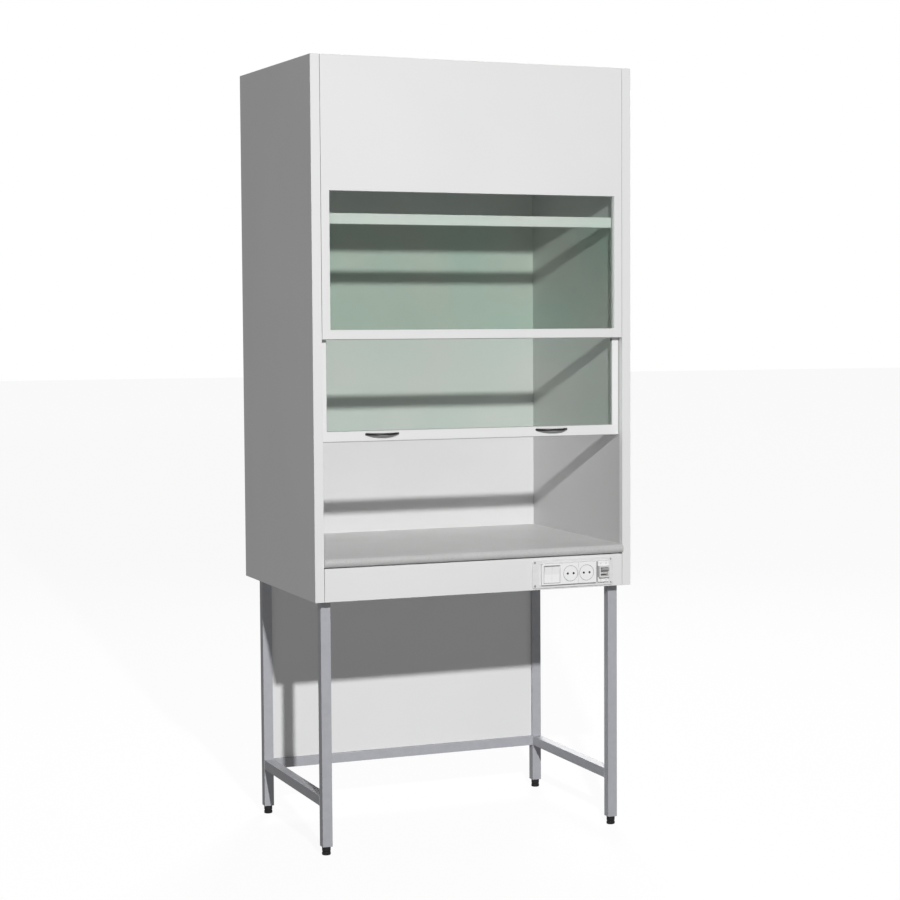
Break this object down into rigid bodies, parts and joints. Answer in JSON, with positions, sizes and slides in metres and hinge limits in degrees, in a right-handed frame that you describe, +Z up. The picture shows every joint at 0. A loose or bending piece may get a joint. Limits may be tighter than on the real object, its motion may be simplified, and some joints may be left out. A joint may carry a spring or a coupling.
{
  "type": "fume hood",
  "caption": "Walk-up fume hood: white board cabinet on a square-tube stand, counterbalanced sliding glass sash, fixed upper window, sockets and breaker in the apron.",
  "frame": {"origin": "on the floor, under the middle of the whole hood", "axes": "+X to the right of a user facing the hood, +Y away from the user, +Z up"},
  "size_m": [1, 0.76, 2.345],
  "materials": {
    "white_board": "white laminated board, satin",
    "chamber_board": "white laminated board, smooth",
    "worktop_laminate": "light grey speckled post-formed laminate",
    "stand_paint": "grey powder coat",
    "black_plastic": "moulded black",
    "sash_frame": "white painted profile",
    "pane": "clear float glass, green tint",
    "bead": "grey glazing bead",
    "bright_steel": "ground steel",
    "pulley_alloy": "machined",
    "belt_rubber": "toothed belt",
    "white_plastic": "white thermoplastic",
    "grey_plastic": "grey thermoplastic",
    "lead_sheath": "white sheath",
    "lamp_tray": "white enamel",
    "lamp_shade": "opal diffuser",
    "contact_metal": "bearing bronze",
    "spigot_plastic": "grey polypropylene"
  },
  "bodies": {
    "cabinet": {"leg_front_left": "stand_paint", "leg_front_right": "stand_paint", "leg_rear_left": "stand_paint", "leg_rear_right": "stand_paint", "rail_lower_left": "stand_paint", "rail_lower_right": "stand_paint", "rail_lower_rear": "stand_paint", "top_frame": "stand_paint", "leg_end_caps": "black_plastic", "lower_back_panel": "white_board", "stand_bolts": "bright_steel", "side_panel_left": "white_board", "side_panel_right": "white_board", "side_liner_left": "chamber_board", "side_liner_right": "chamber_board", "back_panel": "chamber_board", "roof_panel": "white_board", "fascia": "white_board", "window_glass": "pane", "window_beads": "bead", "worktop": "worktop_laminate", "apron": "white_board", "drive_belts": "belt_rubber", "belt_tensioners": "bright_steel", "shaft_bearings": "contact_metal", "exhaust_spigot": "spigot_plastic", "lamp_housing": "lamp_tray", "lamp_diffuser": "lamp_shade", "lamp_lead": "lead_sheath", "lead_clips": "white_plastic", "electric_box": "grey_plastic", "cable_glands": "grey_plastic", "electric_plate": "white_plastic", "plate_screws": "bright_steel", "switch_frame": "white_plastic", "socket_left": "white_plastic", "socket_right": "white_plastic", "circuit_breaker": "white_plastic"},
    "sash": {"sash_rail_bottom": "sash_frame", "sash_rail_top": "sash_frame", "sash_stile_left": "sash_frame", "sash_stile_right": "sash_frame", "sash_glass": "pane", "sash_handle_left": "black_plastic", "sash_handle_right": "black_plastic", "sash_carriers": "grey_plastic"},
    "cross_drive": {"cross_shaft": "bright_steel", "top_pulleys": "pulley_alloy"},
    "tail_pulley_left": {"bottom_pulley_left": "pulley_alloy"},
    "tail_pulley_right": {"bottom_pulley_right": "pulley_alloy"},
    "weight_left": {"counterweight_left": "bright_steel"},
    "weight_right": {"counterweight_right": "bright_steel"},
    "levelling_foot_front_left": {"foot_front_left": "black_plastic"},
    "levelling_foot_front_right": {"foot_front_right": "black_plastic"},
    "levelling_foot_rear_left": {"foot_rear_left": "black_plastic"},
    "levelling_foot_rear_right": {"foot_rear_right": "black_plastic"},
    "rocker_left": {"switch_rocker_left": "white_plastic"},
    "rocker_right": {"switch_rocker_right": "white_plastic"},
    "toggle": {"breaker_toggle": "grey_plastic"}
  },
  "joints": [
    {"name": "sash_slide", "type": "slide", "parent": "cabinet", "child": "sash", "axis": [0, 0, 1], "range_m": [-0.33, 0.265]},
    {"name": "weight_left_slide", "type": "slide", "parent": "cabinet", "child": "weight_left", "axis": [0, 0, 1], "range_m": [-0.266, 0.331]},
    {"name": "weight_right_slide", "type": "slide", "parent": "cabinet", "child": "weight_right", "axis": [0, 0, 1], "range_m": [-0.266, 0.331]},
    {"name": "cross_drive_turn", "type": "hinge", "parent": "cabinet", "child": "cross_drive", "pos_m": [0, -0.2849, 2.24], "axis": [1, 0, 0], "range_deg": [-508, 632]},
    {"name": "tail_left_turn", "type": "hinge", "parent": "cabinet", "child": "tail_pulley_left", "pos_m": [-0.4862, -0.2849, 0.91], "axis": [1, 0, 0], "range_deg": [-508, 632]},
    {"name": "tail_right_turn", "type": "hinge", "parent": "cabinet", "child": "tail_pulley_right", "pos_m": [0.4862, -0.2849, 0.91], "axis": [1, 0, 0], "range_deg": [-508, 632]},
    {"name": "foot_front_left_turn", "type": "hinge", "parent": "cabinet", "child": "levelling_foot_front_left", "pos_m": [-0.4574, -0.295, 0.03], "axis": [0, 0, 1], "continuous": true},
    {"name": "foot_front_right_turn", "type": "hinge", "parent": "cabinet", "child": "levelling_foot_front_right", "pos_m": [0.4574, -0.295, 0.03], "axis": [0, 0, 1], "continuous": true},
    {"name": "foot_rear_left_turn", "type": "hinge", "parent": "cabinet", "child": "levelling_foot_rear_left", "pos_m": [-0.4574, 0.307, 0.03], "axis": [0, 0, 1], "continuous": true},
    {"name": "foot_rear_right_turn", "type": "hinge", "parent": "cabinet", "child": "levelling_foot_rear_right", "pos_m": [0.4574, 0.307, 0.03], "axis": [0, 0, 1], "continuous": true},
    {"name": "rocker_left_rock", "type": "hinge", "parent": "cabinet", "child": "rocker_left", "pos_m": [0.2207, -0.352, 0.79575], "axis": [1, 0, 0], "range_deg": [-12, 0]},
    {"name": "rocker_right_rock", "type": "hinge", "parent": "cabinet", "child": "rocker_right", "pos_m": [0.2459, -0.352, 0.79575], "axis": [1, 0, 0], "range_deg": [-12, 0]},
    {"name": "toggle_throw", "type": "hinge", "parent": "cabinet", "child": "toggle", "pos_m": [0.404, -0.35891, 0.79575], "axis": [1, 0, 0], "range_deg": [0, 52]}
  ],
  "couplings": [
    {"joint": "weight_left_slide", "follows": "sash_slide", "ratio": -1},
    {"joint": "weight_right_slide", "follows": "sash_slide", "ratio": -1},
    {"joint": "cross_drive_turn", "follows": "sash_slide", "rad_per_m": -33.333},
    {"joint": "tail_left_turn", "follows": "sash_slide", "rad_per_m": -33.333},
    {"joint": "tail_right_turn", "follows": "sash_slide", "rad_per_m": -33.333}
  ]
}
